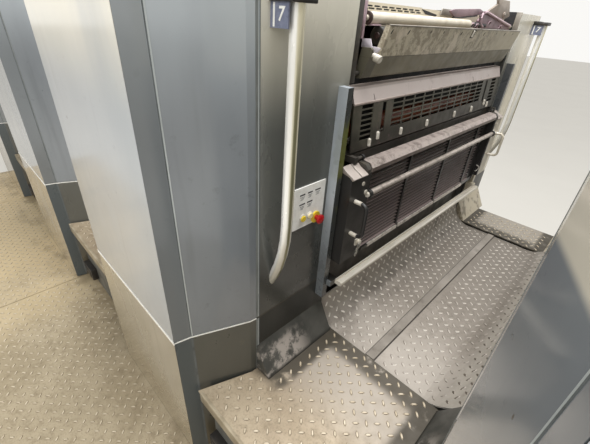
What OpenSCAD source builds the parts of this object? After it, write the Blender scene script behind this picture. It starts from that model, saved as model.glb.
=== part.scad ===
// Section of a sheet-fed offset printing press: four printing units in line, numbered 5 to 8,
// with a footboard and steps in each gap and a tread-plate gallery along the operator side.
// X runs along the press, Y across it (operator side at -Y), Z up from the shop floor.
// The origin is on the floor, under the middle of the section.

/* [Layout] */
// Length of one unit's housing along the press
unit_length = 740; // [720:5:780]
// Clear length of the walkway between two units
gap_length = 565; // [540:5:640]
// Width over the two outer faces of the columns
press_width = 2370; // [2340:10:2450]
// Clear width between the inner panels of the two columns
inner_width = 1276; // [1276:2:1300]
// Height of the gallery's walking surface above the shop floor
deck_top = 300; // [240:10:420]
// Width of the operator gallery
gallery_width = 720; // [600:10:900]

/* [Columns] */
// Height of the columns above the gallery
column_height = 1462; // [1440:2:1500]
// Height of the joint between upper and lower covers above the gallery
seam_height = 598; // [580:2:620]
// Gap between upper and lower covers
seam_gap = 6; // [3:1:10]
// Thickness of the cover panels
cover_t = 8; // [8:1:8]
// Thickness of the cast side frames
frame_t = 60; // [50:5:60]
// Width of the raised bar beside the guards
edge_bar_w = 23; // [18:1:30]
// How far that bar stands out of the inner panel
edge_bar_d = 32; // [24:1:36]

/* [Steps and footboards] */
// Height of the step plates above the gallery
step_height = 362; // [350:1:380]
// Thickness of the step plates
step_t = 6; // [4:1:8]
// Height of the flat part of the footboard above the gallery
board_height = 348; // [340:1:356]
// Thickness of the footboard
board_t = 6; // [4:1:8]
// How far the footboard climbs against a unit's front
board_rise = 125; // [100:5:130]
// Height of the sloping kick skirts above the gallery, at the column
skirt_height = 473; // [440:1:500]
// How far the kick skirts reach out over the step
skirt_reach = 64; // [50:1:70]

/* [Rails] */
// Radius of the handrail tube
handrail_r = 15; // [12:1:16]
// Stand-off of the handrail from the inner panel
handrail_off = 46; // [40:1:50]
// Width of the toe rail profile
toe_rail_w = 27; // [20:1:30]
// Radius of the grab rail on the lower guard
grab_rail_r = 10; // [8:1:12]

/* [Guards] */
// Half width of the top flap
flap_half = 584; // [578:1:586]
// Half width of the upper guard
upper_half = 603; // [598:1:604]
// Half width of the lower guard between its end boxes
lower_half = 561; // [555:1:565]
// Number of slats in the lower guard
slat_count = 21; // [15:1:21]
// Distance from slat to slat
slat_pitch = 15; // [12:0.5:15]
// Thickness of the sheet guards
sheet_t = 3; // [2:0.5:4]

/* [Hidden] */

$fn = 48;
unit_count = 4;
pitch = unit_length + gap_length;
half_unit = unit_length / 2;
half_press = press_width / 2;
half_inner = inner_width / 2;
toe_rail_x = half_unit + 49;
section_half = half_unit + pitch * (unit_count - 1) / 2;
frame_in = half_inner + 2;
frame_out = frame_in + frame_t;
frame_x = half_unit - cover_t;
joint = 1.5;

// Plan of one column corner: outer face, narrow chamfer, angled panel, inner panel
face_x = half_unit - 79.5;
chamfer_x = half_unit - 69.5;
chamfer_y = half_press - 45;
angle_x = half_unit - 3;
angle_y = half_press - 208;
return_y = half_press - 228;
corner_outer = [[face_x, half_press], [chamfer_x, chamfer_y], [angle_x, angle_y], [half_unit, return_y]];
corner_inner = [
    [face_x - 6.5, half_press - 8], [chamfer_x - 7.5, chamfer_y - 3],
    [angle_x - 7.7, angle_y - 2.5], [half_unit - 8, return_y - 1]
];
plinth_y = half_press - 85;

// Hinge lines of the guards as [x, height above the gallery]
flap_axis = [350, 1272];
flap_shift = 6;
upper_axis = [340, 1228];
lower_axis = [394, 1036];
pin_r = 6;
pin_play = 0.08;

function unit_x(i) = (i - (unit_count - 1) / 2) * pitch;
function gap_x(i) = unit_x(i) + half_unit;
function level(h) = deck_top + h;
function reversed(list) = [for (k = [len(list) - 1 : -1 : 0]) list[k]];
function flip_x(list) = [for (p = list) [-p[0], p[1]]];

// Places its children at every unit
module at_units() {
    for (i = [0 : unit_count - 1])
        translate([unit_x(i), 0, 0])
            children();
}

// Places its children at every gap, x = 0 on the face of the unit before it
module at_gaps() {
    for (i = [0 : unit_count - 2])
        translate([gap_x(i), 0, 0])
            children();
}

// Repeats its children on the operator side and the drive side
module both_sides() {
    children();
    mirror([0, 1, 0])
        children();
}

// Repeats its children at the front and back of a unit
module both_ends() {
    children();
    mirror([1, 0, 0])
        children();
}

// Repeats its children at both ends of a gap
module gap_ends() {
    children();
    translate([gap_length, 0, 0])
        mirror([1, 0, 0])
            children();
}

// Extrudes an outline drawn in x and height above the gallery from y0 to y1
module across(y0, y1) {
    translate([0, y1, deck_top])
        rotate([90, 0, 0])
            linear_extrude(y1 - y0)
                children();
}

// Box from one corner to the other, heights above the gallery
module block(x0, x1, y0, y1, h0, h1) {
    translate([x0, y0, level(h0)])
        cube([x1 - x0, y1 - y0, h1 - h0]);
}

// Round bar across the press
module bar_y(x, h, r, y0, y1) {
    translate([x, y1, level(h)])
        rotate([90, 0, 0])
            cylinder(r = r, h = y1 - y0);
}

// Round bar along the press
module bar_x(y, h, r, x0, x1) {
    translate([x0, y, level(h)])
        rotate([0, 90, 0])
            cylinder(r = r, h = x1 - x0);
}

// Bed of each unit, cast
module unit_bases() {
    color("dimgray")
        at_units()
            translate([-frame_x, -frame_in, 0])
                cube([2 * frame_x, 2 * frame_in, deck_top]);
}

// Closed drum casing under each footboard, bolted between the unit beds
module bridge_beds() {
    color("dimgray")
        at_gaps()
            translate([-cover_t, -half_inner + 12, 0])
                cube([gap_length + 2 * cover_t, 2 * half_inner - 24, level(board_height - board_t)]);
}

// Cast side frames that carry the cylinders
module side_frames() {
    color("dimgray")
        at_units()
            both_sides()
                translate([-frame_x, frame_in, 0])
                    cube([2 * frame_x, frame_t, level(1440)]);
}

// Gear and drive housings inside the columns, closed boxes
module column_housings() {
    quarter = concat([[0, half_press - cover_t]], corner_inner, [[frame_x, frame_out]]);
    color("slategray")
        at_units()
            both_sides() {
                translate([0, 0, deck_top])
                    linear_extrude(column_height)
                        polygon(concat(quarter, reversed(flip_x(quarter))));
                translate([-frame_x + 10, frame_out, 0])
                    cube([2 * frame_x - 20, plinth_y - frame_out, deck_top]);
            }
}

// Flat panel on the outer face of a column
module end_cover(h0, h1) {
    x1 = face_x - joint;
    x0 = face_x - 6.5 - joint;
    at_units()
        both_sides()
            translate([0, 0, level(h0)])
                linear_extrude(h1 - h0)
                    polygon([
                        [-x1, half_press], [x1, half_press],
                        [x0, half_press - cover_t], [-x0, half_press - cover_t]
                    ]);
}

// Folded panel round a column corner: chamfer strip and angled face
module corner_cover(h0, h1) {
    at_units()
        both_sides()
            both_ends()
                translate([0, 0, level(h0)])
                    linear_extrude(h1 - h0)
                        polygon(concat(corner_outer, reversed(corner_inner)));
}

// Flat panel on the walkway side of a column
module inner_panel(h0, h1) {
    at_units()
        both_sides()
            both_ends()
                block(frame_x, half_unit, half_inner, return_y - joint, h0, h1);
}

module upper_end_covers() {
    color("lightsteelblue")
        end_cover(seam_height + seam_gap / 2, column_height);
}

module lower_end_covers() {
    color("lightsteelblue")
        end_cover(2, seam_height - seam_gap / 2);
}

module upper_corner_covers() {
    color("slategray")
        corner_cover(seam_height + seam_gap / 2, column_height);
}

module lower_corner_covers() {
    color("slategray")
        corner_cover(2, seam_height - seam_gap / 2);
}

module upper_inner_panels() {
    color("dimgray")
        inner_panel(seam_height + seam_gap / 2, column_height);
}

module lower_inner_panels() {
    color("dimgray")
        inner_panel(2, seam_height - seam_gap / 2);
}

// Sloping kick skirts where the step meets the columns
module kick_skirts() {
    color("dimgray")
        at_gaps()
            both_sides()
                gap_ends()
                    across(frame_in, return_y - joint)
                        polygon([[0, step_height], [skirt_reach, step_height], [0, skirt_height]]);
}

// Step plan between two columns, out to y_edge, clear of the covers
module step_outline(y_edge) {
    back_y = half_inner - 6;
    clear = 3;
    inner = [[clear, back_y], [clear, min(angle_y, y_edge)]];
    outer = y_edge > angle_y ? [[chamfer_x - half_unit + 11, y_edge]] : [];
    half = concat(inner, outer);
    far = [for (p = reversed(half)) [gap_length - p[0], p[1]]];
    polygon(concat(half, far));
}

// Tread-plate steps beside each footboard, deeper on the operator side
module step_plates() {
    operator_edge = chamfer_y + 6;
    drive_edge = half_press - 290;
    fold = 40;
    color("tan")
        at_gaps() {
            mirror([0, 1, 0]) {
                translate([0, 0, level(step_height - step_t)])
                    linear_extrude(step_t)
                        step_outline(operator_edge);
                block(-50, gap_length + 50, operator_edge - 6, operator_edge,
                    step_height - fold, step_height - step_t);
            }
            translate([0, 0, level(step_height - step_t)])
                linear_extrude(step_t)
                    step_outline(drive_edge);
            block(5, gap_length - 5, drive_edge - 6, drive_edge, step_height - fold, step_height - step_t);
        }
}

// Upright plates that close the space under the steps
module step_risers() {
    color("darkslategray")
        at_gaps() {
            mirror([0, 1, 0])
                block(-46, gap_length + 46, plinth_y, plinth_y + 8, 1, step_height - step_t);
            translate([5, half_press - 335, 0])
                cube([gap_length - 10, 8, level(step_height - step_t)]);
        }
}

// Footboard profile: an elliptic climb at the unit behind, flat, then a soft rise
board_run = 100;
board_soft_x = 430;
function board_climb(a, b) = [
    for (t = [0 : 7.5 : 90]) [board_run - a * cos(t), board_height + board_rise - b * sin(t)]
];
function board_soft(drop) = [
    for (s = [0 : 0.125 : 1])
        [board_soft_x + s * (gap_length - 3 - board_soft_x), board_height - drop + 94 * s * s]
];
module footboards() {
    top = concat(board_climb(104, board_rise), board_soft(0));
    under = concat(board_climb(104 + board_t, board_rise + board_t), board_soft(board_t));
    color("gray")
        at_gaps()
            across(-half_inner + 10, half_inner - 10)
                polygon(concat(top, reversed(under)));
}

// Bar over the joint between the two halves of each footboard
module joint_bars() {
    color("darkgray")
        at_gaps()
            block(220, 255, -half_inner + 14, half_inner - 14, board_height, board_height + 8);
}

// Bright profile rail in front of each lower guard, with a raised lip and a groove at the back
module toe_rails() {
    low = seam_height - 10;
    front = toe_rail_x + toe_rail_w;
    color("gainsboro")
        at_units()
            across(-half_inner + 1, half_inner - 1)
                polygon([
                    [toe_rail_x, low], [front - 3, low], [front, low + 3], [front, low + 13],
                    [front - 5, low + 17], [toe_rail_x + 9, low + 17], [toe_rail_x + 8, low + 14],
                    [toe_rail_x + 6, low + 14], [toe_rail_x + 5, low + 20], [toe_rail_x, low + 20]
                ]);
}

// Upright tube that curves back into the inner panel, held by a bracket at the top
handrail_y = half_press - 293;
handrail_top = 1421;
module handrail() {
    bend_h = 930;
    bend_r = 448;
    bend_a = 31;
    translate([half_unit, 0, 0]) {
        intersection() {
            union() {
                translate([handrail_off, handrail_y, level(bend_h)])
                    cylinder(r = handrail_r, h = handrail_top - bend_h);
                translate([handrail_off - bend_r, handrail_y, level(bend_h)])
                    rotate([90, 0, 0])
                        rotate([0, 0, -bend_a])
                            rotate_extrude(angle = bend_a)
                                translate([bend_r, 0])
                                    circle(r = handrail_r);
            }
            block(0, 100, handrail_y - 40, handrail_y + 40, 600, handrail_top);
        }
        block(0, handrail_off + handrail_r + 4, handrail_y - 33, handrail_y + 33,
            handrail_top, handrail_top + 13);
    }
}

module handrails() {
    color("silver")
        at_units()
            both_sides()
                handrail();
}

// Tag for the unit number under each handrail bracket, both turned to the operator side
module number_plates() {
    color("slategray")
        at_units()
            for (y = [-handrail_y, handrail_y])
                block(half_unit, half_unit + 50, y - 28, y - 24, 1377, handrail_top);
}

// White plate for the push buttons, operator side
module control_panels() {
    color("white")
        at_units()
            block(half_unit, half_unit + 4, -824, -696, 862, 994);
}

// Two push buttons, and a mushroom stop button on a round base
module panel_buttons() {
    row_h = 894;
    stop_h = 879;
    face = half_unit + 4;
    color("gold")
        at_units() {
            bar_x(-787, row_h, 10, face, face + 8);
            bar_x(-757, row_h, 10, face, face + 8);
            bar_x(-730, stop_h, 16, face, face + 5);
            bar_x(-730, stop_h, 8, face, face + 18);
            bar_x(-730, stop_h, 15, face + 16, face + 28);
        }
}

// Raised bar beside the guards, with the lug that carries the toe rail
module edge_bars() {
    bar_in = half_inner + 20;
    color("slategray")
        at_units()
            both_sides() {
                block(half_unit, half_unit + edge_bar_d, bar_in, bar_in + edge_bar_w, 534, 1249);
                block(half_unit + 8, toe_rail_x, half_inner - 12, bar_in + 6,
                    seam_height - 12, seam_height + 9);
            }
}

// Hinge pins of the three guards, the lowest pair on arms
module hinge_pins() {
    grip = 7;
    color("silver")
        at_units() {
            bar_y(flap_axis[0], flap_axis[1], pin_r, -frame_in, flap_shift - flap_half + grip);
            bar_y(flap_axis[0], flap_axis[1], pin_r, flap_shift + flap_half - grip, frame_in);
            both_sides() {
                bar_y(upper_axis[0], upper_axis[1], pin_r, upper_half - 21, frame_in);
                block(330, 404, 590, 606, lower_axis[1] - 10, lower_axis[1] + 10);
                block(330, 352, 606, frame_in, lower_axis[1] - 10, lower_axis[1] + 10);
                bar_y(lower_axis[0], lower_axis[1], pin_r, lower_half - grip, 592);
            }
        }
}

// Roller or cylinder with thinner journals out to the side frames
module roller(x, h, r, half, journal) {
    bar_y(x, h, r, -half, half);
    bar_y(x, h, journal, -frame_in, frame_in);
}

// Impression, blanket and plate cylinder of each unit
module press_cylinders() {
    color("silver")
        at_units() {
            roller(-20, 330, 290, 600, 60);
            roller(85, 756, 148, 600, 45);
            roller(55, 1052, 148, 600, 45);
        }
}

// Inking rollers that show through the vents
module ink_rollers() {
    color("firebrick")
        at_units() {
            roller(228, 1115, 34, 560, 12);
            roller(180, 1186, 34, 560, 12);
            roller(300, 1100, 32, 560, 12);
            roller(312, 1172, 32, 560, 12);
            roller(245, 1235, 36, 560, 12);
        }
}

// Fixed curved cover over the cylinders, between the two swinging guards
module cylinder_guards() {
    color("darkslategray")
        at_units() {
            across(-584, 584)
                polygon([
                    [318, 1044], [374, 1044], [376, 1010], [370, 975], [356, 948],
                    [352, 951], [366, 977], [372, 1010], [370, 1040], [318, 1040]
                ]);
            block(318, 324, -frame_in, frame_in, 960, 1044);
        }
}

// Plain panels between the columns: behind each unit, and the sill under its guards
module plain_guards() {
    color("darkslategray")
        at_units() {
            block(-frame_x, -frame_x + 8, -half_inner, half_inner, 702, 1384);
            block(-frame_x, -frame_x + 8, -half_inner, half_inner, 4, 698);
            block(330, 338, -half_inner, half_inner, 4, 650);
        }
}

// Top plate of each unit with the ink duct beam and its slotted strip
module top_covers() {
    slot = [29, 4];
    slot_pitch = 38.5;
    slot_rows = [[-511, 19], [-500, 13]];
    strip_w = 322;
    color("gainsboro")
        at_units() {
            block(-frame_x, 262, -frame_in, frame_in, 1385, 1395);
            block(232, 296, -frame_in, frame_in, 1385, 1440);
            translate([295, 0, level(1412)])
                rotate([90, 0, 90])
                    linear_extrude(5)
                        difference() {
                            translate([-520, 0])
                                square([strip_w, 30]);
                            for (row = slot_rows)
                                for (k = [0 : 7])
                                    translate([row[0] + k * slot_pitch, row[1]])
                                        square(slot);
                        }
        }
}

// Light roller cover behind the top flap, round at its free end, on a through shaft
module roller_tubes() {
    color("whitesmoke")
        at_units() {
            bar_y(333, 1404, 15.5, -541, 125);
            translate([333, 125, level(1404)])
                sphere(r = 15.5);
            bar_y(333, 1404, 7, -frame_in, frame_in);
        }
}

// Side plates and lever of the ink duct, drive side
module ink_duct_arms() {
    color("thistle")
        at_units() {
            translate([300, 0, deck_top])
                rotate([90, 0, 90])
                    linear_extrude(10)
                        polygon([
                            [290, 1388], [600, 1388], [600, 1412], [420, 1440], [330, 1440], [290, 1420]
                        ]);
            translate([309.5, 520, level(1418)])
                rotate([24, 0, 0])
                    translate([0, -9, 0])
                        cube([12, 18, 90]);
        }
}

// Tread plates of the gallery, one seam by each unit
module gallery_plates() {
    y0 = -half_press - gallery_width;
    y1 = -plinth_y - 1;
    seam = 4;
    cuts = concat([-section_half], [for (i = [0 : 2]) unit_x(i) + 300], [section_half]);
    color("tan")
        for (k = [0 : len(cuts) - 2])
            block(cuts[k] + seam / 2, cuts[k + 1] - seam / 2, y0, y1, -6, 0);
}

// Bearer walls and outer fascia that carry the gallery
module gallery_frame() {
    bearer_count = 8;
    y0 = -half_press - gallery_width;
    step = (2 * section_half - 60) / (bearer_count - 1);
    color("dimgray") {
        for (k = [0 : bearer_count - 1])
            translate([-section_half + 24 + k * step, y0 + 14, 0])
                cube([12, gallery_width + 60, deck_top - 6]);
        translate([-section_half, y0, 0])
            cube([2 * section_half, 8, deck_top - 6]);
    }
}

// Top flap outline: lower leaf that leans out, fold, steeper upper leaf, shorter at one end
flap_low = [362, 1263];
flap_fold = [380, 1314];
flap_top = [398, 1391];
leaf_start = -536;

module top_flap(i) {
    cheek_in = flap_half - 8;
    color("darkseagreen")
        translate([unit_x(i), flap_shift, 0])
            difference() {
                union() {
                    across(-flap_half, flap_half)
                        polygon([
                            flap_low, flap_fold, flap_fold + [-3.2, 1], flap_low + [-3.2, 1],
                            [343, 1262], [343, 1259], [359, 1259]
                        ]);
                    across(leaf_start, flap_half)
                        polygon([flap_fold, flap_top, flap_top + [-3.2, 1], flap_fold + [-3.2, 1]]);
                    both_sides() {
                        across(cheek_in, flap_half)
                            polygon([
                                flap_low, flap_fold, [384, 1333], [380, 1337], [352, 1337], [341, 1280],
                                [341, 1262]
                            ]);
                        bar_y(flap_axis[0], flap_axis[1], pin_r + 4, cheek_in, flap_half);
                    }
                    across(cheek_in, flap_half)
                        polygon([flap_fold, flap_top, [384, 1391], [352, 1318]]);
                    across(leaf_start, leaf_start + 4)
                        polygon([flap_fold, flap_top, [384, 1391], [362, 1318]]);
                    translate([flap_fold[0] - 8, -556, level(flap_fold[1] + 1)])
                        rotate([0, 104, 0])
                            cylinder(r = 9.5, h = 25);
                }
                both_sides()
                    bar_y(flap_axis[0], flap_axis[1], pin_r + pin_play, cheek_in - 1, flap_half + 1);
            }
}

// Upper guard: sloping hood over a vented face, on two cheeks
guard_lip = [372, 1194];
vent_top = [371, 1190];
vent_bottom = [380, 1052];

module vent_field(y0, y1, columns, rows, h_top, h_pitch, opening) {
    column_w = (y1 - y0) / columns;
    for (c = [0 : columns - 1])
        for (r = [0 : rows - 1])
            translate([y0 + c * column_w + 4, h_top - r * h_pitch - opening])
                square([column_w - 8, opening]);
}

module upper_guard(i) {
    lean = atan((vent_bottom[0] - vent_top[0]) / (vent_top[1] - vent_bottom[1]));
    face_h = norm(vent_top - vent_bottom);
    cheek_in = upper_half - 22;
    cheek_out = cheek_in + 8;
    color("rosybrown")
        translate([unit_x(i), 0, 0])
            difference() {
                union() {
                    across(-upper_half, upper_half)
                        polygon([
                            [334, 1239], [357, 1236], guard_lip, vent_top, vent_top - [3, 0],
                            guard_lip - [3, 0], [354.5, 1233], [334, 1236]
                        ]);
                    translate([vent_top[0], 0, level(vent_top[1])])
                        rotate([0, -lean, 0])
                            translate([-sheet_t, 0, -face_h])
                                rotate([90, 0, 90])
                                    linear_extrude(sheet_t)
                                        difference() {
                                            translate([-upper_half, 0])
                                                square([2 * upper_half, face_h + 1]);
                                            vent_field(-393, 393, 11, 6, face_h - 3, 15.5, 11);
                                            for (s = [-1, 1]) {
                                                vent_field(s * 533 - 33, s * 533 + 33, 1, 7,
                                                    face_h - 3, 15.5, 11);
                                                translate([s * 440 - 11, face_h - 98])
                                                    square([22, 92]);
                                            }
                                        }
                    both_sides() {
                        across(cheek_in, cheek_out)
                            polygon([
                                [332, 1238], [356, 1235], guard_lip, vent_top, vent_bottom,
                                vent_bottom - [10, 0], [350, 1190], [332, 1220]
                            ]);
                        bar_y(upper_axis[0], upper_axis[1], pin_r + 4, cheek_in, cheek_out);
                    }
                }
                both_sides()
                    bar_y(upper_axis[0], upper_axis[1], pin_r + pin_play, cheek_in - 1, cheek_out + 1);
            }
}

// Lower guard: slatted grille between two cheeks and end boxes, each with a loop handle
cheek_t = 8;
slat_low = 690;
rail_axis = [440, 928];
rail_half = lower_half - cheek_t - 3;
box_end = 652;
box_x = 436;
handle_y = 620;
handle_h = [805, 920];
handle_x = 482;
handle_r = 6;

module loop_handle(y) {
    bend = 18;
    for (h = handle_h)
        bar_x(y, h, handle_r, box_x - 4, handle_x - bend);
    translate([handle_x, y, level(handle_h[0] + bend)])
        cylinder(r = handle_r, h = handle_h[1] - handle_h[0] - 2 * bend);
    for (k = [0, 1])
        translate([handle_x - bend, y, level(k == 0 ? handle_h[0] + bend : handle_h[1] - bend)])
            rotate([90, 0, 0])
                rotate([0, 0, k == 0 ? -90 : 0])
                    rotate_extrude(angle = 90)
                        translate([bend, 0])
                            circle(r = handle_r);
}

module lower_guard(i) {
    cheek_in = lower_half - cheek_t;
    color("black")
        translate([unit_x(i), 0, 0])
            difference() {
                union() {
                    both_sides() {
                        across(cheek_in, lower_half)
                            polygon([
                                [388, 1024], [394, 1027], [424, 1025], [433, 1012], [433, 800],
                                [414, 660], [392, 660], [388, 1016]
                            ]);
                        bar_y(lower_axis[0], lower_axis[1], pin_r + 4, cheek_in, lower_half);
                        bar_y(rail_axis[0], rail_axis[1], grab_rail_r + 5, rail_half, lower_half);
                        block(396, 406, 500, cheek_in, 680, 1020);
                        across(lower_half - 1, box_end)
                            polygon([[392, 690], [box_x, 690], [box_x, 994], [426, 1002], [392, 1010]]);
                        loop_handle(handle_y);
                    }
                    block(392, 412, -cheek_in, cheek_in, 660, 682);
                    block(392, 406, -cheek_in, cheek_in, 1012, 1024);
                    for (y = [-242, 92, 420])
                        block(393, 410, y - 6, y + 6, 680, 1014);
                    for (k = [0 : slat_count - 1])
                        block(394, 406, -501, 501, slat_low + k * slat_pitch, slat_low + k * slat_pitch + 4);
                }
                both_sides()
                    bar_y(lower_axis[0], lower_axis[1], pin_r + pin_play, cheek_in - 1, lower_half + 1);
            }
}

// Bright trim of the lower guard: hood, grab rail and the strips along its foot
module guard_trim(i) {
    half = lower_half - cheek_t;
    color("rosybrown")
        translate([unit_x(i), 0, 0]) {
            across(-half, half)
                polygon([
                    [396, 1029], [426, 1026], [437, 1012], [437, 999],
                    [434, 999], [434, 1011], [424, 1023], [396, 1026]
                ]);
            bar_y(rail_axis[0], rail_axis[1], grab_rail_r, -rail_half, rail_half);
            for (bay = [[-500, -250], [-234, 84], [100, 412]])
                block(412, 418, bay[0], bay[1], 664, 678);
        }
}

unit_bases();
bridge_beds();
side_frames();
column_housings();
upper_end_covers();
lower_end_covers();
upper_corner_covers();
lower_corner_covers();
upper_inner_panels();
lower_inner_panels();
kick_skirts();
step_plates();
step_risers();
footboards();
joint_bars();
toe_rails();
handrails();
number_plates();
control_panels();
panel_buttons();
edge_bars();
hinge_pins();
press_cylinders();
ink_rollers();
cylinder_guards();
plain_guards();
top_covers();
roller_tubes();
ink_duct_arms();
gallery_plates();
gallery_frame();
top_flap(0);  // unit5_top_flap
top_flap(1);  // unit6_top_flap
top_flap(2);  // unit7_top_flap
top_flap(3);  // unit8_top_flap
upper_guard(0);  // unit5_upper_guard
upper_guard(1);  // unit6_upper_guard
upper_guard(2);  // unit7_upper_guard
upper_guard(3);  // unit8_upper_guard
lower_guard(0);  // unit5_lower_guard
lower_guard(1);  // unit6_lower_guard
lower_guard(2);  // unit7_lower_guard
lower_guard(3);  // unit8_lower_guard
guard_trim(0);  // unit5_guard_trim
guard_trim(1);  // unit6_guard_trim
guard_trim(2);  // unit7_guard_trim
guard_trim(3);  // unit8_guard_trim
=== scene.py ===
import functools
import itertools
import math

import bmesh
import bpy
from mathutils import Matrix, Vector


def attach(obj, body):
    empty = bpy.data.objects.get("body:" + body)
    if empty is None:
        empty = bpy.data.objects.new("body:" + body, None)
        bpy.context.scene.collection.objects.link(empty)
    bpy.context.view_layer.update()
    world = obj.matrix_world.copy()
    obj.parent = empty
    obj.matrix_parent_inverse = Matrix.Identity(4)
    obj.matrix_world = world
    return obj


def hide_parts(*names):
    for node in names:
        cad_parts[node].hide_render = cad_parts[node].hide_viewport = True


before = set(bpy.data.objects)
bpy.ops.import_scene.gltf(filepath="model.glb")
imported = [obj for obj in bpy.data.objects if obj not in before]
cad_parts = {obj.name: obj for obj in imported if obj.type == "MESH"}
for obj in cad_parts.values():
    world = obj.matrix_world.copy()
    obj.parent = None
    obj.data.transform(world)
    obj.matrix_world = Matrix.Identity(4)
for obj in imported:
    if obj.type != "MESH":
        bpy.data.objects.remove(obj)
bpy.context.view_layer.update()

# ---------------- layout, in millimetres
MM = 0.001
DECK = 300                # gallery level above the floor
PITCH = 1305              # unit to unit
HALF = 370                # half a unit's length
GAP = 565                 # walkway between two units
UNITS = {5: -1.5 * PITCH, 6: -0.5 * PITCH, 7: 0.5 * PITCH, 8: 1.5 * PITCH}
GAPS = [x + HALF for x in list(UNITS.values())[:3]]
PRESS = 1185              # half width over the columns
INNER = 638               # half width between the inner panels
GALLERY = 720             # width of the gallery beyond the columns
SEAM = 598                # joint between upper and lower covers, above the gallery
STEP = 362                # top of the steps, above the gallery
SIDES = (-1, 1)           # operator side, drive side

# ---------------- materials
X, Y, Z = range(3)
M = {}                    # finished materials by name


def linear(rgb):
    """Linear colour from 8-bit screen values."""
    values = [v / 255 for v in rgb]
    return (*(v / 12.92 if v <= 0.04045 else ((v + 0.055) / 1.055) ** 2.4 for v in values), 1)


def join(tree, node, sockets):
    """Fills a node's sockets, each with a value or with another node's output."""
    for key, value in sockets.items():
        if isinstance(value, bpy.types.NodeSocket):
            tree.links.new(value, node.inputs[key])
        else:
            node.inputs[key].default_value = value
    return node


def add_node(tree, kind, sockets, **settings):
    node = tree.nodes.new(kind)
    for key, value in settings.items():
        setattr(node, key, value)
    return join(tree, node, sockets)


class Surface:
    """A Principled material with layered noise for colour, roughness and relief."""

    def __init__(self, name, light, dark, *grain, low=0.35, high=0.65,
                 metallic=0, specular=0.5, coat=0, **more):
        """The ground: two colours, mixed by a noise of the given grain."""
        self.name = name
        self.mat = bpy.data.materials.new(name)
        self.mat.use_nodes = True
        self.tree = self.mat.node_tree
        self.bsdf = self.tree.nodes["Principled BSDF"]
        join(self.tree, self.bsdf, {
            "Metallic": metallic, "Specular IOR Level": specular, "Coat Weight": coat})
        source = self.tree.nodes.new("ShaderNodeTexCoord")
        self.coords = source.outputs["Object"]
        self.normals = source.outputs["Normal"]
        self.blend(linear(light), linear(dark), self.span(self.noise(*grain, **more), low, high))

    def node(self, kind, sockets, output=0, **settings):
        """An output of a new node."""
        return add_node(self.tree, kind, sockets, **settings).outputs[output]

    def mapped(self, stretch, shift=0):
        place = (shift, shift * 0.7, shift * 1.3)
        return self.node("ShaderNodeMapping", {
            "Vector": self.coords, "Scale": stretch, "Location": place})

    def noise(self, scale, stretch=(1, 1, 1), detail=4, rough=0.55, shift=0):
        return self.node("ShaderNodeTexNoise", {
            "Vector": self.mapped(stretch, shift), "Scale": scale, "Detail": detail, "Roughness": rough})

    def spots(self, scale, stretch=(1, 1, 1)):
        return self.node("ShaderNodeTexVoronoi", {"Vector": self.mapped(stretch), "Scale": scale})

    def span(self, value, low, high, out_low=0, out_high=1):
        """Smooth step of a value from low to high."""
        return self.node("ShaderNodeMapRange", {
            "Value": value, "From Min": low, "From Max": high, "To Min": out_low, "To Max": out_high,
        }, interpolation_type="SMOOTHSTEP")

    def patches(self, scale, shift, low, high, amount=1, stretch=(1, 1, 1), detail=4, rough=0.55):
        """Soft patches of noise, cut between two of its levels."""
        return self.span(self.noise(scale, stretch, detail, rough, shift), low, high, 0, amount)

    def ragged(self, *cut, **more):
        """Patches with ragged edges."""
        return self.patches(*cut, detail=6, rough=0.7, **more)

    def split(self, vector, axis, low, high):
        """Smooth step of one component of a vector."""
        return self.span(self.node("ShaderNodeSeparateXYZ", {"Vector": vector}, axis), low, high)

    def along(self, axis, low, high):
        """0 below low and 1 above high, in metres along an axis of the object."""
        return self.split(self.coords, axis, low, high)

    def turned(self, axis, low, high):
        """1 where the surface turns towards the positive axis of the object."""
        return self.split(self.normals, axis, low, high)

    def calc(self, operation, a, b):
        return self.node("ShaderNodeMath", {0: a, 1: b}, operation=operation)

    def flip(self, mask):
        return self.calc("SUBTRACT", 1, mask)

    def below(self, axis, low, high):
        """1 below low and 0 above high."""
        return self.flip(self.along(axis, low, high))

    def every(self, masks, amount=1):
        """High where all the masks are, eased to amount."""
        total = functools.reduce(lambda a, b: self.calc("MULTIPLY", a, b), masks)
        return total if amount == 1 else self.span(total, 0, 1, 0, amount)

    def either(self, masks):
        return functools.reduce(lambda a, b: self.calc("MAXIMUM", a, b), masks)

    def blend(self, a, b, factor):
        sockets = {"A": a, "B": b, "Factor": factor}
        self.colour = self.node("ShaderNodeMix", sockets, "Result", data_type="RGBA")

    def over(self, colour, *masks, amount=1):
        """Lays another colour over what is there, where all the masks are high."""
        self.blend(self.colour, linear(colour), self.every(masks, amount))

    def done(self, gloss, low, high, scale=0, depth=0, distance=0, detail=3, stretch=(1, 1, 1)):
        """Adds roughness between low and high and a fine relief, in metres, and keeps the material."""
        join(self.tree, self.bsdf, {
            "Base Color": self.colour, "Roughness": self.span(gloss, 0.3, 0.7, low, high)})
        if scale:
            grain = self.noise(scale, stretch, detail)
            sockets = {"Height": grain, "Strength": depth, "Distance": distance}
            join(self.tree, self.bsdf, {"Normal": self.node("ShaderNodeBump", sockets)})
        M[self.name] = self.mat


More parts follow.
